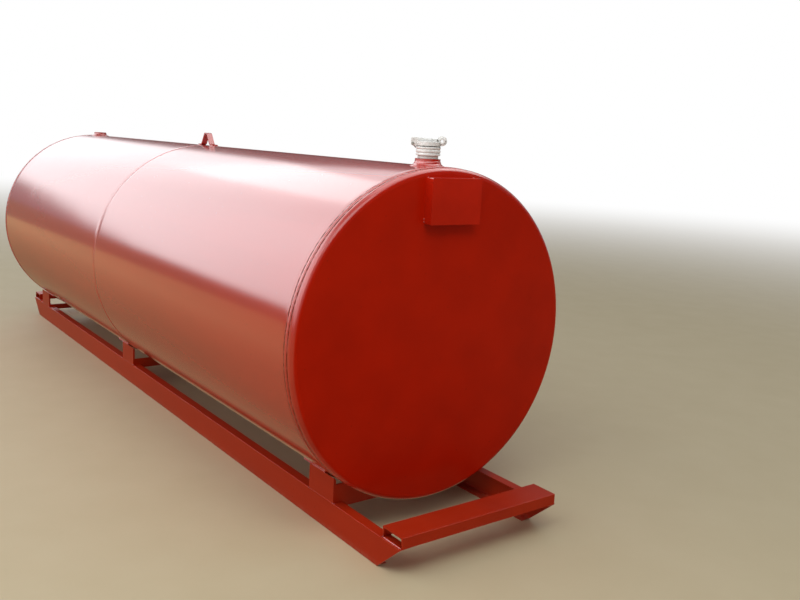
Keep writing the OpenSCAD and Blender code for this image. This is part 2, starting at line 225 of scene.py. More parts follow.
def repeat(base: Object, name: str, places: Iterable[Matrix]) -> Object:
    """Copies a base shape to many places as one piece, and removes the base.

    Args:
        base: the shape that repeats, modelled round the origin.
        name: name of the new piece.
        places: where each copy goes.

    Returns:
        One object that holds every copy.
    """
    whole = bmesh.new()
    for place in places:
        shape = base.data.copy()
        shape.transform(place)
        whole.from_mesh(shape)
        bpy.data.meshes.remove(shape)
    data = bpy.data.meshes.new(name)
    whole.to_mesh(data)
    whole.free()
    piece = bpy.data.objects.new(name, data)
    bpy.context.scene.collection.objects.link(piece)
    bpy.data.objects.remove(base, do_unlink=True)
    return settle(piece, BEAD_EDGE_DEG)


def copy_node(node: str, name: str) -> Object:
    """Copies a CAD node as a piece of its own, with its loose triangles merged.

    Args:
        node: name of the CAD node.
        name: name of the new piece.

    Returns:
        The copy, which stands for the node.
    """
    piece = bpy.data.objects.new(name, frame["nodes"][node].data.copy())
    bpy.context.scene.collection.objects.link(piece)
    with whole_mesh(piece):
        bpy.ops.mesh.remove_doubles(threshold=0.01 * MM)
    if piece.data.has_custom_normals:
        bpy.ops.mesh.customdata_custom_splitnormals_clear()
    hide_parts(node)
    return piece


def dress(piece: Object, finish: Material) -> None:
    """Gives a piece one finish in all its slots."""
    piece.data.materials.clear()
    piece.data.materials.append(finish)


def dress_nodes(names: Iterable[str], finish: Material) -> None:
    """Gives CAD nodes one finish."""
    for name in names:
        dress(frame["nodes"][name], finish)


# Node trees

@dataclass(frozen=True)
class Ramp:
    """A level that changes between two places and stays as it is beyond them."""

    first: float
    last: float
    start: float = 0.0
    end: float = 1.0

    def of(self, value: Node | Socket) -> dict[object, object]:
        """What a Map Range node takes in to turn a value into the level."""
        return {0: value, 1: self.first, 2: self.last, 3: self.start, 4: self.end}


@dataclass(frozen=True)
class Grain:
    """Fractal noise: its scale per metre, its octaves and how strong the fine ones are."""

    scale: float
    detail: float
    roughness: float = 0.5

    def at(self, where: Node | Socket) -> dict[object, object]:
        """What a Noise Texture node takes in to give the noise at a place."""
        return {"Vector": where, "Scale": self.scale, "Detail": self.detail, "Roughness": self.roughness}


def linear(code: str) -> tuple[float, float, float, float]:
    """Turns an sRGB hex colour to linear light.

    Args:
        code: six hex digits after a hash sign.

    Returns:
        Red, green, blue and alpha.
    """
    parts = [int(code[i:i + 2], 16) / 255 for i in (1, 3, 5)]
    light = [c / 12.92 if c <= 0.04045 else ((c + 0.055) / 1.055) ** 2.4 for c in parts]
    return (light[0], light[1], light[2], 1.0)


def feed(tree: NodeTree, node: Node, inputs: dict[object, object]) -> None:
    """Links a node's inputs, or sets them to values.

    Args:
        tree: the node tree.
        node: the node.
        inputs: by the name or number of each input, a socket, a node whose first output it takes, or a value.
    """
    for place, source in inputs.items():
        if isinstance(source, Node):
            source = source.outputs[0]
        if isinstance(source, Socket):
            tree.links.new(source, node.inputs[place])
        else:
            node.inputs[place].default_value = source


def add_node(tree: NodeTree, kind: str, inputs: dict[object, object] | None = None, **settings: object) -> Node:
    """Adds a shader node to a tree.

    Args:
        tree: the node tree.
        kind: Blender's name of the node, without the ShaderNode before it.
        inputs: what its inputs take, as for feed.
        settings: values of its properties.

    Returns:
        The new node.
    """
    made = tree.nodes.new("ShaderNode" + kind)
    for name, value in settings.items():
        setattr(made, name, value)
    feed(tree, made, inputs or {})
    return made


# Finishes

def blank_material(name: str) -> tuple[Material, NodeTree, Node]:
    """Starts a material with a shader and an output.

    Args:
        name: the material's name.

    Returns:
        The material, its node tree and its shader node.
    """
    material = bpy.data.materials.new(name)
    material.use_nodes = True
    tree = material.node_tree
    tree.nodes.clear()
    shader = add_node(tree, "BsdfPrincipled")
    add_node(tree, "OutputMaterial", {"Surface": shader})
    return material, tree, shader


def show(tree: NodeTree, shader: Node) -> None:
    """Makes a shader the one that the material's output shows."""
    feed(tree, tree.nodes["Material Output"], {"Surface": shader})


@dataclass(frozen=True)
class OxideEnamel:
    """Red oxide alkyd enamel, sprayed wet on rolled steel plate.

    It dries to a soft gloss: the sky shows as a broad streak with a slightly grainy edge. The plate under it
    is never quite flat, so long reflections waver, and the spray leaves faint bands where passes overlap.
    """

    name: str
    colour: str = "#B21A03"
    deep: str = "#A81803"
    dust: str = "#A9705C"
    rust: str = "#3A160C"
    toe_dark: str = "#6A1E08"
    gloss: float = 0.22
    dusty_gloss: float = 0.75
    grain_gloss: float = 0.06
    mirror: float = 1.0
    matt_face: float = 0.06
    matt_from: float = 0.90
    matt_to: float = 0.97
    dust_on_top: float = 0.10
    splash_top: float = 0.0
    splash_amount: float = 0.55
    wave: float = 0.0
    peel: float = 0.02 * MM
    welds: tuple[float, ...] = ()
    pull: Ramp = Ramp(0.0, 45.0 * MM, -1.2 * MM, 0.0)
    toes: tuple[float, ...] = ()
    toe_line: Ramp = Ramp(7.0 * MM, 0.0, 0.0, 2.0)
    band_stretch: tuple[float, float, float] = (0.5, 3.0, 3.0)
    bands: Grain = Grain(1.4, 3.0)
    band_edge: Ramp = Ramp(0.35, 0.7)
    patches: Grain = Grain(16.0, 5.0)
    clots: Grain = Grain(60.0, 6.0, 0.7)
    clot_edge: Ramp = Ramp(0.42, 0.62)
    speck_scale: float = 18.0
    speck_edge: Ramp = Ramp(0.05, 0.03, 0.0, 0.8)
    breaks: Grain = Grain(65.0, 3.0)
    break_edge: Ramp = Ramp(0.42, 0.56, 0.3, 1.0)
    waver: Grain = Grain(2.2, 1.0)
    orange_peel: Grain = Grain(260.0, 1.0)

    def build(self) -> Material:
        """Builds the material from Object coordinates in metres.

        Returns:
            The material.
        """
        material, tree, shader = blank_material(self.name)
        where = add_node(tree, "TexCoord").outputs["Object"]
        along, _, height = add_node(tree, "SeparateXYZ", {0: where}).outputs
        # Spray bands: overlapping passes about 250 mm apart, drawn out along the tank
        lanes = add_node(tree, "Mapping", {"Vector": where, "Scale": self.band_stretch})
        spray = add_node(tree, "TexNoise", self.bands.at(lanes))
        spread = add_node(tree, "MapRange", self.band_edge.of(spray))
        paint = add_node(tree, "Mix", {0: spread, 6: linear(self.colour), 7: linear(self.deep)}, data_type="RGBA")
        # Dust settles on faces that look up, in patches some 60 mm wide
        normal = add_node(tree, "NewGeometry").outputs["Normal"]
        lengthwise, _, up = add_node(tree, "SeparateXYZ", {0: normal}).outputs
        laid = add_node(tree, "MapRange", Ramp(0.5, 1.0, 0.0, self.dust_on_top).of(up))
        patch = add_node(tree, "TexNoise", self.patches.at(where))
        dusty = add_node(tree, "Math", {0: laid, 1: patch}, operation="MULTIPLY")
        # Splashed earth fades out above the ground
        low = add_node(tree, "MapRange", Ramp(self.splash_top, 0.0, 0.0, self.splash_amount).of(height))
        clots = add_node(tree, "TexNoise", self.clots.at(where))
        clot = add_node(tree, "MapRange", self.clot_edge.of(clots))
        splash = add_node(tree, "Math", {0: low, 1: clot}, operation="MULTIPLY")
        veil = add_node(tree, "Math", {0: dusty, 1: splash}, operation="ADD", use_clamp=True)
        paint = add_node(tree, "Mix", {0: veil, 6: paint.outputs[2], 7: linear(self.dust)}, data_type="RGBA")
        # Pin-head rust specks, 3 mm across so that they show, thinly strewn
        specks = add_node(tree, "TexVoronoi", {"Vector": where, "Scale": self.speck_scale}).outputs["Distance"]
        speck = add_node(tree, "MapRange", self.speck_edge.of(specks))
        paint = add_node(tree, "Mix", {0: speck, 6: paint.outputs[2], 7: linear(self.rust)}, data_type="RGBA")
        paint, dull = self.darken_toes(tree, where, along, paint, veil)
        # Dust and the dark toe lines take the gloss away, and the paint's own grain varies it a little
        rough = add_node(tree, "MapRange", Ramp(0.0, 1.0, self.gloss, self.dusty_gloss).of(dull))
        change = {0: clots, 1: self.grain_gloss, 2: -self.grain_gloss / 2}
        grain = add_node(tree, "Math", change, operation="MULTIPLY_ADD")
        # Faces square to the tank's length dried duller than the rolled and folded edges round them
        square = add_node(tree, "Math", {0: lengthwise}, operation="ABSOLUTE")
        shine = add_node(tree, "MapRange", Ramp(self.matt_from, self.matt_to, self.mirror, self.matt_face).of(square))
        clean = add_node(tree, "Math", {0: 1.0, 1: dull}, operation="SUBTRACT", use_clamp=True)
        feed(tree, shader, {
            "Base Color": paint.outputs[2],
            "Roughness": add_node(tree, "Math", {0: rough, 1: grain}, operation="ADD"),
            "Specular IOR Level": add_node(tree, "Math", {0: shine, 1: clean}, operation="MULTIPLY"),
            "Normal": self.relief(tree, where, along),
        })
        return material

    def darken_toes(self, tree: NodeTree, where: Socket, along: Socket, paint: Node, veil: Node) -> tuple[Node, Node]:
        """Darkens the paint and takes its gloss in broken lines along the toes of the round seams.

        Args:
            tree: the material's node tree.
            where: Object coordinates.
            along: their part along the tank.
            paint: the paint's colour so far.
            veil: how dull the paint is so far.

        Returns:
            The nodes of the darkened colour and the new dullness.
        """
        for x in self.toes:
            # A dark line some 8 mm wide beside the bead, broken every 15 mm or so
            away = add_node(tree, "Math", {0: along, 1: x}, operation="SUBTRACT")
            away = add_node(tree, "Math", {0: away}, operation="ABSOLUTE")
            line = add_node(tree, "MapRange", self.toe_line.of(away), interpolation_type="SMOOTHSTEP")
            breaks = add_node(tree, "TexNoise", self.breaks.at(where))
            broken = add_node(tree, "MapRange", self.break_edge.of(breaks))
            amount = add_node(tree, "Math", {0: line, 1: broken}, operation="MULTIPLY", use_clamp=True)
            colours = {0: amount, 6: paint.outputs[2], 7: linear(self.toe_dark)}
            paint = add_node(tree, "Mix", colours, data_type="RGBA")
            veil = add_node(tree, "Math", {0: amount, 1: veil}, operation="MAXIMUM")
        return paint, veil

    def relief(self, tree: NodeTree, where: Socket, along: Socket) -> Node:
        """Adds the plate's waver, the pull of its welds and the paint's peel.

        Args:
            tree: the material's node tree.
            where: Object coordinates.
            along: their part along the tank.

        Returns:
            The bump node that carries the relief.
        """
        # Rolled plate wavers over about half a metre; orange peel is drawn at 4 mm, coarser than real
        waver = add_node(tree, "TexNoise", self.waver.at(where))
        peel = add_node(tree, "TexNoise", self.orange_peel.at(where))
        height = add_node(tree, "Math", {0: waver, 1: self.wave}, operation="MULTIPLY")
        height = add_node(tree, "Math", {0: peel, 1: self.peel, 2: height}, operation="MULTIPLY_ADD")
        # A cooling weld pulls the plate in by about a millimetre over the last 45 mm beside it
        for x in self.welds:
            away = add_node(tree, "Math", {0: along, 1: x}, operation="SUBTRACT")
            away = add_node(tree, "Math", {0: away}, operation="ABSOLUTE")
            pull = add_node(tree, "MapRange", self.pull.of(away), interpolation_type="SMOOTHSTEP")
            height = add_node(tree, "Math", {0: height, 1: pull}, operation="ADD")
        return add_node(tree, "Bump", {"Height": height, "Distance": 1.0, "Strength": 1.0})


@dataclass(frozen=True)
class CastAluminium:
    """Aluminium sand casting left bare outdoors.

    Its skin is pale grey and matt, pitted by the sand, with dark stains and painted shade in the hollows, and no
    mirror gloss.
    """

    name: str = "sand_cast_aluminium_bare"
    colour: str = "#DBDBD8"
    grime_and_shade: str = "#7D7A74"
    gloss: float = 0.52
    metallic: float = 0.15
    stains: Grain = Grain(45.0, 4.0)
    stain_edge: Ramp = Ramp(0.5, 0.75, 0.0, 0.5)
    hollow_width: float = 12.0 * MM
    hollow_samples: int = 8
    hollow_shade_edge: Ramp = Ramp(0.9, 0.45)
    grit: Grain = Grain(520.0, 2.0)
    grit_depth: float = 0.3 * MM

    def build(self) -> Material:
        """Builds the material from Object coordinates in metres.

        Returns:
            The material.
        """
        material, tree, shader = blank_material(self.name)
        where = add_node(tree, "TexCoord").outputs["Object"]
        stains = add_node(tree, "TexNoise", self.stains.at(where))
        stain = add_node(tree, "MapRange", self.stain_edge.of(stains))
        # Painted shade: the metal darkens in hollows up to 12 mm wide, from ambient occlusion, in the stains' dark
        # colour
        open_sky = add_node(tree, "AmbientOcclusion", {"Distance": self.hollow_width}, samples=self.hollow_samples)
        hollow = add_node(tree, "MapRange", self.hollow_shade_edge.of(open_sky.outputs["AO"]))
        stain_and_shade = add_node(tree, "Math", {0: stain, 1: hollow}, operation="ADD", use_clamp=True)
        metal = add_node(tree, "Mix", {0: stain_and_shade, 6: linear(self.colour), 7: linear(self.grime_and_shade)}, data_type="RGBA")
        # Moulding sand of 0.5 mm grit, drawn at about 2 mm so that it shows
        grit = add_node(tree, "TexNoise", self.grit.at(where))
        feed(tree, shader, {
            "Base Color": metal.outputs[2],
            "Metallic": self.metallic,
            "Roughness": self.gloss,
            "Normal": add_node(tree, "Bump", {"Height": grit, "Distance": self.grit_depth, "Strength": 0.5}),
        })
        return material


@dataclass(frozen=True)
class PinSteel:
    """Turned mild steel with a thin grey film of weather."""

    name: str = "turned_steel_weathered"
    colour: str = "#8C8A86"
    gloss: float = 0.42
    gloss_change: float = 0.1
    film: Grain = Grain(240.0, 3.0)

    def build(self) -> Material:
        """Builds the material from Object coordinates in metres.

        Returns:
            The material.
        """
        material, tree, shader = blank_material(self.name)
        where = add_node(tree, "TexCoord").outputs["Object"]
        # The film dulls the metal in clouds a few millimetres wide
        levels = Ramp(0.0, 1.0, self.gloss - self.gloss_change, self.gloss + self.gloss_change)
        film = add_node(tree, "TexNoise", self.film.at(where))
        rough = add_node(tree, "MapRange", levels.of(film))
        feed(tree, shader, {"Base Color": linear(self.colour), "Metallic": 1.0, "Roughness": rough})
        return material


@dataclass(frozen=True)
class GasketRubber:
    """Black nitrile rubber sheet, cut and dull."""

    name: str = "nitrile_rubber_gasket"
    colour: str = "#1C1B1A"
    gloss: float = 0.7
    skin: Grain = Grain(900.0, 2.0)
    skin_depth: float = 0.1 * MM

    def build(self) -> Material:
        """Builds the material from Object coordinates in metres.

        Returns:
            The material.
        """
        material, tree, shader = blank_material(self.name)
        where = add_node(tree, "TexCoord").outputs["Object"]
        # The sheet's skin is finely pebbled, at about a millimetre
        skin = add_node(tree, "TexNoise", self.skin.at(where))
        pebbled = add_node(tree, "Bump", {"Height": skin, "Distance": self.skin_depth, "Strength": 0.6})
        feed(tree, shader, {"Base Color": linear(self.colour), "Roughness": self.gloss, "Normal": pebbled})
        return material


# Welds

@dataclass
class WeldBead:
    """A bead of overlapping ripples, laid by hand along a seam."""

    width: float
    height: float
    pitch: float = 6.5 * MM
    unrest: float = 0.12
    memory: float = 0.85
    swell_limit: float = 0.3
    stray: float = 0.05
    overlap: float = 1.15
    lean: float = 9.0
    segments: int = 10
    rings: int = 8
    foot: float = -0.25
    seed: int = 7
    dice: random.Random = field(init=False)
    swell: float = field(init=False, default=0.0)

    def __post_init__(self) -> None:
        """Seeds the welder's unsteady hand."""
        self.dice = random.Random(self.seed)

    def ripple(self) -> Object:
        """Models one ripple: a dome that leans forward over the one before.

        Returns:
            The dome, with the lower part of its ball cut off.
        """
        clear_selection()
        bpy.ops.mesh.primitive_uv_sphere_add(segments=self.segments, ring_count=self.rings, radius=1.0)
        dome = start_piece("ripple")
        with whole_mesh(dome):
            bpy.ops.mesh.bisect(plane_co=(0, 0, self.foot), plane_no=(0, 0, 1), clear_inner=True)
        return dome

    def place(self, point: Vector, along: Vector, out: Vector) -> Matrix:
        """Where one ripple goes.

        Args:
            point: foot of the ripple on the seam.
            along: direction in which the bead runs.
            out: direction away from the plates.

        Returns:
            The matrix that places and scales the dome.
        """
        across = out.cross(along).normalized()
        roll = Matrix((along.normalized(), across, out.normalized())).transposed().to_4x4()
        self.swell = self.memory * self.swell + self.dice.uniform(-self.unrest, self.unrest)
        wide = self.width / 2 * (1 + max(-self.swell_limit, min(self.swell_limit, self.swell)))
        high = self.height * (1 + self.dice.uniform(-self.unrest, self.unrest))
        stray = across * self.width * self.dice.uniform(-self.stray, self.stray)
        lean = Matrix.Rotation(math.radians(-self.lean), 4, "Y")
        size = Matrix.Diagonal((self.pitch * self.overlap, wide, high, 1.0))
        return Matrix.Translation(point + stray) @ roll @ lean @ size

    def lay(self, name: str, runs: Iterable[Sequence[Station]]) -> Object:
        """Lays the bead along its runs as one piece.

        Args:
            name: name of the piece.
            runs: for each run, the stations of its ripples: point, along and out.

        Returns:
            The bead.
        """
        return repeat(self.ripple(), name, [self.place(*station) for run in runs for station in run])

    def line(self, start: Vector, end: Vector, out: Vector) -> list[Station]:
        """Stations of a straight run.

        Args:
            start: first end.
            end: other end.
            out: direction away from the plates.

        Returns:
            A station for each ripple.
        """
        count = max(FEWEST_RIPPLES, round((end - start).length / self.pitch))
        along = (end - start).normalized()
        return [(start.lerp(end, (i + 0.5) / count), along, out) for i in range(count)]

    def ring(self, x: float, radius: float) -> list[Station]:
        """Stations of a run round the tank at one place along it."""
        return self.arc(x, radius, 0.0, 360.0)

    def arc(
        self, x: float, radius: float, first: float, last: float, side: Vector | None = None
    ) -> list[Station]:
        """Stations of a run round the tank's axis.

        Args:
            x: place along the tank.
            radius: distance from the axis.
            first: start angle in degrees from straight down toward +Y.
            last: end angle.
            side: tilts the bead toward this direction, for a fillet.

        Returns:
            A station for each ripple.
        """
        count = max(FEWEST_RIPPLES, round(radius * math.radians(abs(last - first)) / self.pitch))
        stations = []
        for i in range(count):
            a = math.radians(first + (last - first) * (i + 0.5) / count)
            out = Vector((0, math.sin(a), -math.cos(a)))
            along = Vector((0, math.cos(a), math.sin(a)))
            point = Vector((x, 0, TANK.axis_z)) + out * radius
            stations.append((point, along, (out + side).normalized() if side else out))
        return stations

    def collar(self, centre: Vector, radius: float, lift: float, tilt: float) -> list[Station]:
        """Stations of a run round an upright fitting on top of the shell.

        Args:
            centre: foot of the fitting on the shell's highest line.
            radius: distance from the fitting's axis.
            lift: height above the shell.
            tilt: lean of the bead's crown from upright, away from the fitting.

        Returns:
            A station for each ripple.
        """
        count = max(FEWEST_RIPPLES, round(2 * math.pi * radius / self.pitch))
        stations = []
        for i in range(count):
            a = 2 * math.pi * i / count
            away = Vector((math.cos(a), math.sin(a), 0))
            y = radius * math.sin(a)
            fall = TANK.radius - math.sqrt(TANK.radius ** 2 - y * y)
            point = centre + away * radius + Vector((0, 0, lift - fall))
            crown = away * math.sin(tilt) + Vector((0, 0, math.cos(tilt)))
            stations.append((point, Vector((-away.y, away.x, 0)), crown))
        return stations


@dataclass
class WeldShop:
    """Lays weld beads and spatter and puts the finish on them."""

    finish: Material
    smallest: float = 0.6
    largest: float = 1.5
    flatness: float = 0.8

    def hand_over(self, piece: Object) -> None:
        """Paints a piece and fixes it to the tank.

        Args:
            piece: the piece.
        """
        dress(piece, self.finish)
        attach(piece, "tank")

    def bead(
        self, name: str, bead: WeldBead, runs: Iterable[Sequence[Station]], stands_for: str | None = None
    ) -> None:
        """Lays one bead on the tank.

        Args:
            name: name of the piece.
            bead: size and hand of the bead.
            runs: the stations of each run.
            stands_for: the smooth CAD ring that the bead replaces.
        """
        piece = bead.lay(name, runs)
        self.hand_over(piece)
        if stands_for:
            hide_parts(stands_for)

    def spatter(self, name: str, points: Sequence[tuple[Vector, Vector]], radius: float, seed: int) -> None:
        """Throws weld spatter: half beads of metal that stuck under the paint.

        Args:
            name: name of the piece.
            points: where each drop sits, and its direction outward.
            radius: radius of an average drop.
            seed: seeds their sizes.
        """
        dice = random.Random(seed)
        clear_selection()
        bpy.ops.mesh.primitive_ico_sphere_add(subdivisions=1, radius=1.0)
        drop = start_piece("drop")
        apply_modifier(drop, "SUBSURF", levels=1, render_levels=1)
        places = []
        for point, out in points:
            size = radius * dice.uniform(self.smallest, self.largest)
            turn = out.to_track_quat("Z", "Y").to_matrix().to_4x4()
            squash = Matrix.Diagonal((size, size, size * self.flatness, 1.0))
            places.append(Matrix.Translation(point) @ turn @ squash)
        self.hand_over(repeat(drop, name, places))


# Sub-assemblies

@dataclass
class Welded:
    """A sub-assembly whose welds are laid by a shop."""

    shop: WeldShop


@dataclass
class Barrel(Welded):
    """The shell's two courses and flat flanged heads, with the seams between them."""

    seam_width: float = 14.0 * MM
    seam_height: float = 2.1 * MM
    girth_width: float = 16.0 * MM
    girth_height: float = 1.1 * MM
    spatter_reach: float = 45.0 * MM
    spatter_count: int = 70
    spatter_size: float = 1.6 * MM

    def build(self) -> None:
        """Lays the three round seams and the spatter beside them."""
        for end, x, seed in (("near", TANK.weld_x, 11), ("far", -TANK.weld_x, 12)):
            seam = WeldBead(self.seam_width, self.seam_height, overlap=1.6, lean=5.0, seed=seed)
            self.shop.bead(f"{end}_head_bead", seam, [seam.ring(x, TANK.radius)], f"{end}_head_weld")
        girth = WeldBead(self.girth_width, self.girth_height, overlap=1.8, lean=3.0, seed=13)
        self.shop.bead("girth_bead", girth, [girth.ring(TANK.girth_x, TANK.radius)], "girth_weld")
        dice = random.Random(5)
        drops = []
        for x in (TANK.weld_x, -TANK.weld_x, TANK.girth_x):
            for _ in range(self.spatter_count):
                away = dice.choice((-1, 1)) * (self.seam_width + dice.random() ** 2 * self.spatter_reach)
                angle = dice.uniform(0, 360)
                reach = min(x + away, TANK.face_x - TANK.knuckle)
                point = TANK.on_shell(reach, angle)
                drops.append((point, (point - Vector((reach, 0, TANK.axis_z))).normalized()))
        self.shop.spatter("seam_spatter", drops, self.spatter_size, seed=21)

    def dress(self, shell: Material, head: Material) -> None:
        """Paints the courses and the heads."""
        dress_nodes(("near_shell_course", "far_shell_course"), shell)
        dress_nodes(("near_head", "far_head"), head)


@dataclass
class SkidFrame(Welded):
    """The two channel beams, the end channels laid across them and their welds."""

    bead_width: float = 9.0 * MM
    bead_height: float = 4.0 * MM
    stop: float = 12.0 * MM
    tip_x: float = 3100.0 * MM

    def build(self) -> None:
        """Lays fillet beads where the end channels sit on the beams."""
        z = TANK.beam_top
        for end in ("near", "far"):
            low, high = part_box(f"{end}_end_channel")
            bead = WeldBead(self.bead_width, self.bead_height, seed=31)
            runs = []
            for side in Side:
                s = side.value
                outer = s * high[1]
                inner = s * (TANK.beam_y - TANK.beam_flange)
                for x, facing in ((low[0], -1), (high[0], 1)):
                    # A channel's outer edge is level with the beams' tips and has no room for a bead
                    if abs(x) > self.tip_x:
                        continue
                    out = unit(facing, 0, 1)
                    runs.append(bead.line(Vector((x, inner, z)), Vector((x, outer, z)), out))
                out = unit(0, s, 1)
                first, last = Vector((low[0] + self.stop, outer, z)), Vector((high[0] - self.stop, outer, z))
                runs.append(bead.line(first, last, out))
            self.shop.bead(f"{end}_end_channel_beads", bead, runs)

    def dress(self, paint: Material) -> None:
        """Paints the beams and the end channels."""
        dress_nodes(("left_skid_beam", "right_skid_beam", "near_end_channel", "far_end_channel"), paint)


@dataclass
class SaddleSet(Welded):
    """One saddle: two upright plates, two wear pads on the shell and the cross plate."""

    saddle: Saddle
    bead_width: float = 9.0 * MM
    bead_height: float = 4.0 * MM

    def build(self) -> None:
        """Lays the beads of the pads and the plates."""
        word = self.saddle.value
        pads = WeldBead(self.bead_width, self.bead_height, seed=41)
        plates = WeldBead(self.bead_width, self.bead_height, seed=42)
        pad_runs, plate_runs = [], []
        for side in Side:
            pad_runs += self.pad_runs(pads, f"{word}_{side.name.lower()}_wear_pad", side.value)
            plate_runs += self.plate_runs(plates, f"{word}_{side.name.lower()}_saddle_plate", side.value)
        self.shop.bead(f"{word}_wear_pad_beads", pads, pad_runs)
        self.shop.bead(f"{word}_saddle_plate_beads", plates, plate_runs)

    def pad_runs(self, bead: WeldBead, node: str, s: int) -> list[list[Station]]:
        """Runs round the four edges of a wear pad.

        Args:
            bead: the bead to lay.
            node: the pad's node.
            s: sign of the side.

        Returns:
            Four runs.
        """
        low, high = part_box(node)
        x0, x1 = low[0], high[0]
        inner, outer = s * TANK.pad_inner_deg, s * TANK.pad_outer_deg
        runs = [
            bead.arc(x0, TANK.radius, inner, outer, Vector((-1, 0, 0))),
            bead.arc(x1, TANK.radius, inner, outer, Vector((1, 0, 0))),
        ]
        for angle, turn in ((inner, -s), (outer, s)):
            a = math.radians(angle)
            out = Vector((0, math.sin(a), -math.cos(a))) + Vector((0, math.cos(a), math.sin(a))) * turn
            runs.append(bead.line(TANK.on_shell(x0, angle), TANK.on_shell(x1, angle), out.normalized()))
        return runs

    def plate_runs(self, bead: WeldBead, node: str, s: int) -> list[list[Station]]:
        """Runs at the foot of a saddle plate, on its inner face and its two ends.

        Args:
            bead: the bead to lay.
            node: the plate's node.
            s: sign of the side.

        Returns:
            Three runs.
        """
        low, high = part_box(node)
        x0, x1, z = low[0], high[0], TANK.beam_top
        outer = s * TANK.beam_y
        inner = s * (TANK.beam_y - TANK.saddle_t)
        return [
            bead.line(Vector((x0, inner, z)), Vector((x1, inner, z)), unit(0, -s, 1)),
            bead.line(Vector((x0, inner, z)), Vector((x0, outer, z)), unit(-1, 0, 1)),
            bead.line(Vector((x1, inner, z)), Vector((x1, outer, z)), unit(1, 0, 1)),
        ]

    def dress(self, paint: Material) -> None:
        """Paints the saddle's plates and pads.

        Args:
            paint: their finish.
        """
        word = self.saddle.value
        for side in Side:
            dress_nodes((f"{word}_{side.name.lower()}_{kind}" for kind in ("saddle_plate", "wear_pad")), paint)
        dress_nodes((f"{word}_cross_plate",), paint)


@dataclass
class TopFittings(Welded):
    """The fill coupling, the bung and the lifting lug on the shell's top line."""

    collar_width: float = 13.0 * MM
    collar_height: float = 2.2 * MM
    fillet: float = 24.0 * MM
    passes: tuple[float, ...] = (14.0, 44.0, 74.0)
    foot_length: float = 33.0 * MM
    foot_width: float = 9.1 * MM
    foot_height: float = 3.08 * MM

    def build(self) -> None:
        """Lays three passes of weld in the hollow fillet of each fitting, and the beads of the lug's feet."""
        for node in ("fill_coupling", "top_bung"):
            low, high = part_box(node)
            foot = Vector(((low[0] + high[0]) / 2, 0, TANK.top_z))
            barrel = (high[1] - low[1]) / 2 - self.fillet
            bead = WeldBead(self.collar_width, self.collar_height, overlap=1.4, lean=5.0, seed=51)
            runs = []
            for degrees in self.passes:
                a = math.radians(degrees)
                away, lift = self.fillet * (1 - math.sin(a)), self.fillet * (1 - math.cos(a))
                runs.append(bead.collar(foot, barrel + away, lift, a))
            self.shop.bead(f"{node}_beads", bead, runs)
        low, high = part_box("lifting_lug")
        bead = WeldBead(self.foot_width, self.foot_height, seed=52)
        z = TANK.top_z
        runs = []
        for toe, s in ((low[0], -1), (high[0], 1)):
            heel = toe - s * self.foot_length
            out = unit(s, 0, 1)
            runs.append(bead.line(Vector((toe, low[1], z)), Vector((toe, high[1], z)), out))
            for y, t in ((low[1], -1), (high[1], 1)):
                out = unit(0, t, 1)
                runs.append(bead.line(Vector((heel, y, z)), Vector((toe, y, z)), out))
        self.shop.bead("lifting_lug_beads", bead, runs)

    def dress(self, paint: Material) -> None:
        """Paints the welded fittings."""
        dress_nodes(("fill_coupling", "top_bung", "lifting_lug"), paint)


@dataclass
class FillCap:
    """The cast adapter, its hinged lid, gasket and pin."""

    cell: float = 1.3 * MM
    softening: float = 0.5
    softenings: int = 4
    share_kept: float = 0.5

    def cast(self, node: str, body: str, finish: Material) -> None:
        """Makes a casting of a CAD node, with every edge rounded as a sand mould leaves it.

        Args:
            node: the CAD node.
            body: the body that it rides on.
            finish: its material.
        """
        piece = copy_node(node, f"{node}_casting")
        apply_modifier(piece, "REMESH", mode="VOXEL", voxel_size=self.cell)
        apply_modifier(piece, "SMOOTH", factor=self.softening, iterations=self.softenings)
        apply_modifier(piece, "DECIMATE", ratio=self.share_kept)
        dress(settle(piece, ALL_SMOOTH_DEG), finish)
        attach(piece, body)

    def build(self, metal: Material) -> None:
        """Casts the adapter and the lid."""
        self.cast("fill_adapter", "tank", metal)
        self.cast("fill_lid", "lid", metal)

    def dress(self, rubber: Material, steel: Material) -> None:
        """Finishes the gasket and the pin."""
        dress_nodes(("fill_gasket",), rubber)
        dress_nodes(("lid_hinge_pin",), steel)


@dataclass
class HeadBox(Welded):
    """The shallow sheet box on the near head, held by short welds at its corners."""

    tack: float = 4.5 * MM
    from_end: float = 12.0 * MM
    off_head: float = 1.5 * MM

    def build(self) -> None:
        """Puts short tack welds where the box's sides meet the head, near its corners."""
        low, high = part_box("head_box")
        x = TANK.face_x + self.off_head
        drops = []
        for y, s in ((low[1], -1), (high[1], 1)):
            for step in (0.0, self.from_end):
                drops.append((Vector((x, y, low[2] + self.from_end + step)), unit(1, s, 0)))
            for z, up in ((high[2], 1), (low[2], -1)):
                drops.append((Vector((x, y - s * self.from_end, z)), unit(1, 0, up)))
        self.shop.spatter("head_box_tacks", drops, self.tack, seed=61)

    def dress(self, paint: Material) -> None:
        """Paints the box."""
        dress_nodes(("head_box",), paint)


# Studio

@dataclass(frozen=True)
class SoftBox:
    """A rectangular lamp, so bright that its face would show at its radiance, where 1 is white.

    A gleam shows only in gloss: it draws a highlight and adds no other light.
    """

    name: str
    at: tuple[float, float, float]
    toward: tuple[float, float, float]
    size: tuple[float, float]
    radiance: float
    gleam: bool = False

    def hang(self) -> None:
        """Hangs the lamp with its face toward its point."""
        data = bpy.data.lights.new(self.name, "AREA")
        data.shape = "RECTANGLE"
        data.size, data.size_y = self.size
        data.energy = self.radiance * math.pi * self.size[0] * self.size[1]
        box = bpy.data.objects.new(self.name, data)
        box.visible_camera = False
        box.visible_diffuse = not self.gleam
        aim = (Vector(self.toward) - Vector(self.at)).to_track_quat("-Z", "Y").to_matrix().to_4x4()
        box.matrix_world = Matrix.Translation(self.at) @ aim
        bpy.context.scene.collection.objects.link(box)


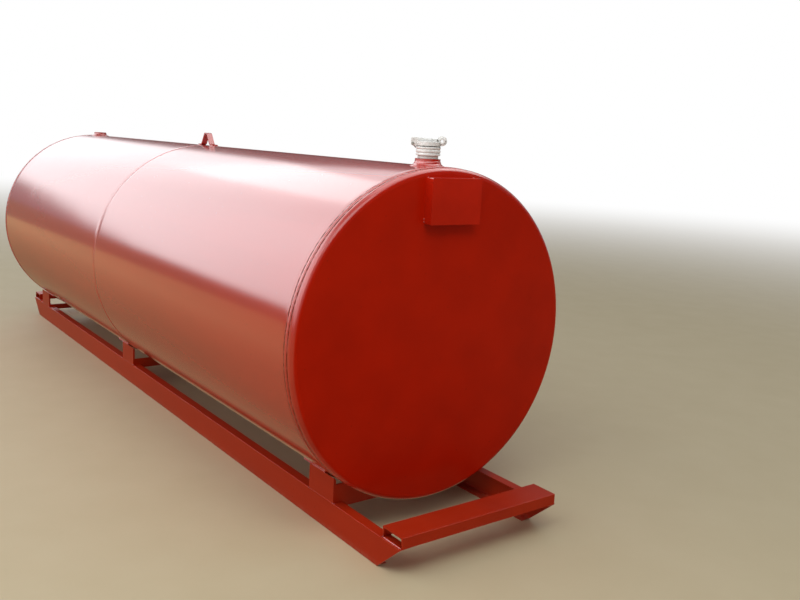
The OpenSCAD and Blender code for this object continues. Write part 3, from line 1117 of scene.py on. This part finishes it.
# One box at the left, one before the near head, and three that draw highlights on crown, rim and edges
LAMPS = (
    SoftBox("left_box", at=(0.5, -5.5, 5.0), toward=(0.0, 0.0, 1.0), size=(10.0, 5.0), radiance=1.25),
    SoftBox("head_soft_box", at=(4.9, -1.3, 4.3), toward=(2.7, 0.0, 1.2), size=(3.0, 2.0), radiance=3.15),
    SoftBox("crown_gleam", at=(-14.0, 3.4, 11.0), toward=(2.0, 0.0, 1.8), size=(5.5, 6.0), radiance=1.3, gleam=True),
    SoftBox("rim_gleam", at=(2.5, 3.5, 9.5), toward=(2.7, 0.0, 1.6), size=(9.0, 11.0), radiance=3.0, gleam=True),
    SoftBox("edge_glint", at=(3.2, 5.2, 8.2), toward=(2.8, 0.0, 1.7), size=(0.6, 0.6), radiance=35.0, gleam=True),
)


@dataclass(frozen=True)
class CloudScreen:
    """What the shell mirrors beyond the far end: bright clouds, and a dark roof on the right.

    Its ramps run across the backdrop in metres of Y, negative on the left, or up it in metres of Z.
    """

    name: str = "studio_cloud_screen"
    colour: str = "#FCFCFF"
    across: Ramp = Ramp(1.0, 8.0, 3.0, 1.9)
    left_gain: Ramp = Ramp(-8.0, -2.0, 1.22, 0.95)
    right_end: Ramp = Ramp(11.0, 13.0, 1.0, 0.2)
    climb: Ramp = Ramp(-7.2, -4.2, 0.0, 1.75)
    foot_edge: Ramp = Ramp(1.5, 2.5, 0.12, 0.9)
    top_gain: Ramp = Ramp(3.0, 12.0, 1.0, 1.2)
    roof: Ramp = Ramp(2.0, 8.0, 1.5, 9.0)
    roof_edge: Ramp = Ramp(-0.5, 0.5, 0.10, 1.0)

    def build(self) -> Material:
        """Builds a material that only gives light.

        Returns:
            The material.
        """
        material, tree, _ = blank_material(self.name)
        where = add_node(tree, "TexCoord").outputs["Object"]
        _, y, z = add_node(tree, "SeparateXYZ", {0: where}).outputs
        # The clouds' lower edge climbs from the left to the middle
        climb = add_node(tree, "MapRange", self.climb.of(y))
        above = add_node(tree, "Math", {0: z, 1: climb}, operation="SUBTRACT")
        # On the right something dark stands behind the tank: its slanting top edge draws the band along
        # the shell's crown, and the skid's upper faces mirror it farther round
        roof = add_node(tree, "MapRange", self.roof.of(y))
        over = add_node(tree, "Math", {0: z, 1: roof}, operation="SUBTRACT")
        power = add_node(tree, "MapRange", self.roof_edge.of(over), interpolation_type="SMOOTHSTEP")
        for value, ramp in (
            (y, self.across), (above, self.foot_edge), (z, self.top_gain), (y, self.left_gain), (y, self.right_end),
        ):
            factor = add_node(tree, "MapRange", ramp.of(value))
            power = add_node(tree, "Math", {0: power, 1: factor}, operation="MULTIPLY")
        show(tree, add_node(tree, "Emission", {"Color": linear(self.colour), "Strength": power}))
        return material


@dataclass(frozen=True)
class Studio:
    """A pale floor that fades to white, a white sky, screens that show only in gloss, and lamps."""

    floor_half: float = 45.0
    floor_drop: float = 0.5 * MM
    floor_colour: str = "#C9BA96"
    floor_dark: str = "#C1B18B"
    floor_gloss: float = 0.85
    floor_speckle: Grain = Grain(3.0, 4.0)
    floor_fade: Ramp = Ramp(5.0, 26.0)
    reflected_ground_glow: str = "#E2CA9B"
    reflected_ground_shade: Ramp = Ramp(0.9, 2.9, 0.42, 1.08)
    backdrop_radius: float = 18.0
    backdrop_sides: int = 96
    horizon: float = 1.7
    cloud_top: float = 20.0
    screen_end: tuple[float, float, float] = (-3.0, 17.7, 0.0)
    screen_cut: tuple[float, float, float] = (0.94, 0.34, 0.0)
    flag_colour: str = "#A59A85"
    sky_colour: str = "#F9FCFF"
    sky_level: float = 0.42
    white: str = "#FFFFFF"

    def floor(self) -> None:
        """Lays the floor just under the skid, fades it to white far from the tank and gives it a painted reflection
        in gloss.
        """
        clear_selection()
        bpy.ops.mesh.primitive_plane_add(size=2 * self.floor_half, location=(0, 0, -self.floor_drop))
        ground = start_piece("studio_floor")
        bpy.ops.object.transform_apply(location=True, rotation=True, scale=True)
        material, tree, shader = blank_material("studio_floor_paint")
        where = add_node(tree, "TexCoord").outputs["Object"]
        speckle = add_node(tree, "TexNoise", self.floor_speckle.at(where))
        tones = {0: speckle, 6: linear(self.floor_colour), 7: linear(self.floor_dark)}
        tone = add_node(tree, "Mix", tones, data_type="RGBA")
        feed(tree, shader, {"Base Color": tone.outputs[2], "Roughness": self.floor_gloss})
        # The camera sees it fade to the white of the sky
        ray = add_node(tree, "LightPath").outputs
        far = add_node(tree, "VectorMath", {0: where}, operation="LENGTH").outputs["Value"]
        fade = add_node(tree, "MapRange", self.floor_fade.of(far), interpolation_type="SMOOTHSTEP")
        amount = add_node(tree, "Math", {0: ray["Is Camera Ray"], 1: fade}, operation="MULTIPLY")
        white = add_node(tree, "Emission", {"Color": linear(self.white), "Strength": 1.0})
        seen = add_node(tree, "MixShader", {0: amount, 1: shader, 2: white})
        # Painted reflection: glossy rays see the floor glow in the colour of open ground, with painted shade close
        # beside the tank
        _, y, _ = add_node(tree, "SeparateXYZ", {0: where}).outputs
        beside = add_node(tree, "Math", {0: y}, operation="ABSOLUTE")
        glow = add_node(tree, "MapRange", self.reflected_ground_shade.of(beside))
        painted_reflection = add_node(tree, "Emission", {"Color": linear(self.reflected_ground_glow), "Strength": glow})
        show(tree, add_node(tree, "MixShader", {0: ray["Is Glossy Ray"], 1: seen, 2: painted_reflection}))
        dress(ground, material)

    def backdrop(self, name: str, low: float, high: float, material: Material) -> Object:
        """Stands a curved band round the studio that shows only in gloss.

        Args:
            name: name of the band.
            low: height of its lower edge.
            high: height of its upper edge.
            material: its material.

        Returns:
            The band.
        """
        clear_selection()
        bpy.ops.mesh.primitive_cylinder_add(
            vertices=self.backdrop_sides, radius=self.backdrop_radius, depth=high - low, end_fill_type="NOTHING",
            location=(0, 0, (low + high) / 2),
        )
        band = start_piece(name)
        bpy.ops.object.transform_apply(location=True, rotation=True, scale=True)
        band.visible_camera = False
        band.visible_diffuse = False
        band.visible_shadow = False
        dress(band, material)
        return band

    def flag(self) -> None:
        """Stands a low brown band all round, so that the sky's reflection has an edge."""
        material, tree, _ = blank_material("studio_flag_felt")
        show(tree, add_node(tree, "Emission", {"Color": linear(self.flag_colour), "Strength": 1.0}))
        self.backdrop("studio_flag", 0.0, self.horizon, material)

    def clouds(self) -> None:
        """Stands the cloud screen beyond the far end, carried farther round on the left."""
        band = self.backdrop("studio_clouds", self.horizon, self.cloud_top, CloudScreen().build())
        with whole_mesh(band):
            bpy.ops.mesh.bisect(plane_co=self.screen_end, plane_no=self.screen_cut, clear_outer=True)

    def sky(self) -> None:
        """Shows white behind the tank and lights it evenly from all round."""
        world = bpy.data.worlds.new("studio_sky")
        bpy.context.scene.world = world
        world.use_nodes = True
        tree = world.node_tree
        tree.nodes.clear()
        ray = add_node(tree, "LightPath").outputs
        seen = add_node(tree, "Math", {0: ray["Is Camera Ray"], 1: ray["Is Glossy Ray"]}, operation="MAXIMUM")
        seen = add_node(tree, "Math", {0: seen, 1: ray["Is Transmission Ray"]}, operation="MAXIMUM")
        light = add_node(tree, "Background", {"Color": linear(self.sky_colour), "Strength": self.sky_level})
        shown = add_node(tree, "Background", {"Color": linear(self.white), "Strength": 1.0})
        mixed = add_node(tree, "MixShader", {0: seen, 1: light, 2: shown})
        add_node(tree, "OutputWorld", {"Surface": mixed})

    def build(self) -> None:
        """Sets up the whole studio."""
        self.floor()
        self.flag()
        self.clouds()
        self.sky()
        for lamp in LAMPS:
            lamp.hang()


@dataclass(frozen=True)
class PhotoCamera:
    """A camera at the photograph's viewing angle, for an image of 800 by 600."""

    place: tuple[float, float, float] = (5.9002, -2.6389, 1.9413)
    heading: float = 53.02
    pitch: float = -10.76
    roll: float = 3.05
    lens: float = 38.31
    sensor: float = 36.0
    sight: float = 200.0

    def build(self) -> None:
        """Adds the camera and makes it the scene's own."""
        data = bpy.data.cameras.new("photo_camera")
        data.lens = self.lens
        data.sensor_width = self.sensor
        data.clip_end = self.sight
        camera = bpy.data.objects.new("photo_camera", data)
        turn = (
            Matrix.Rotation(math.radians(self.heading), 4, "Z")
            @ Matrix.Rotation(math.radians(90 + self.pitch), 4, "X")
            @ Matrix.Rotation(math.radians(self.roll), 4, "Z")
        )
        camera.matrix_world = Matrix.Translation(self.place) @ turn
        bpy.context.scene.collection.objects.link(camera)
        bpy.context.scene.camera = camera


def main() -> None:
    """Builds and dresses each sub-assembly, then the studio."""
    logging.basicConfig(level=logging.INFO, format="%(message)s")
    PhotoCamera().build()
    # The toe lines lie beside the seams' beads: outside on the shell, inside on the heads
    shell_toe, head_toe = TANK.weld_x - 10.0 * MM, TANK.weld_x + 18.0 * MM
    shell = OxideEnamel(
        "red_oxide_enamel_on_shell", gloss=0.155, dust_on_top=0.04, wave=1.2 * MM,
        welds=(TANK.weld_x, -TANK.weld_x, TANK.girth_x), toes=(shell_toe, -shell_toe),
    ).build()
    head = OxideEnamel(
        "red_oxide_enamel_on_head", mirror=0.6, matt_from=0.80, matt_to=0.90, wave=1.0 * MM,
        toes=(head_toe, -head_toe),
    ).build()
    # Painted light: the box's enamel is a lighter copy of the head's red oxide, since its face shows brighter than
    # the head round it
    panel = OxideEnamel(
        "red_oxide_enamel_on_box", colour="#BC1D05", mirror=0.8, matt_face=0.10, wave=0.4 * MM
    ).build()
    fitting = OxideEnamel("red_oxide_enamel_on_fitting", gloss=0.25, dust_on_top=0.04).build()
    steel = OxideEnamel(
        "red_oxide_enamel_on_channel", colour="#AE2602", deep="#A42202", gloss=0.33, mirror=0.16,
        matt_face=0.20, dust_on_top=0.06, splash_top=30.0 * MM, peel=0.04 * MM,
    ).build()
    shop = WeldShop(OxideEnamel("red_oxide_enamel_on_weld").build())
    for part, finishes in (
        (Barrel(shop), (shell, head)),
        (SkidFrame(shop), (steel,)),
        *[(SaddleSet(shop, saddle), (steel,)) for saddle in Saddle],
        (TopFittings(shop), (fitting,)),
        (HeadBox(shop), (panel,)),
    ):
        part.build()
        part.dress(*finishes)
    cap = FillCap()
    cap.build(CastAluminium().build())
    cap.dress(GasketRubber().build(), PinSteel().build())
    nodes = list(frame["nodes"].values())
    for piece in bpy.data.objects:
        if piece.type == "MESH" and piece not in nodes:
            SHOP.info("made %s", piece.name)
    Studio().build()
    bpy.context.scene.view_settings.view_transform = "Standard"


if __name__ == "__main__":
    main()
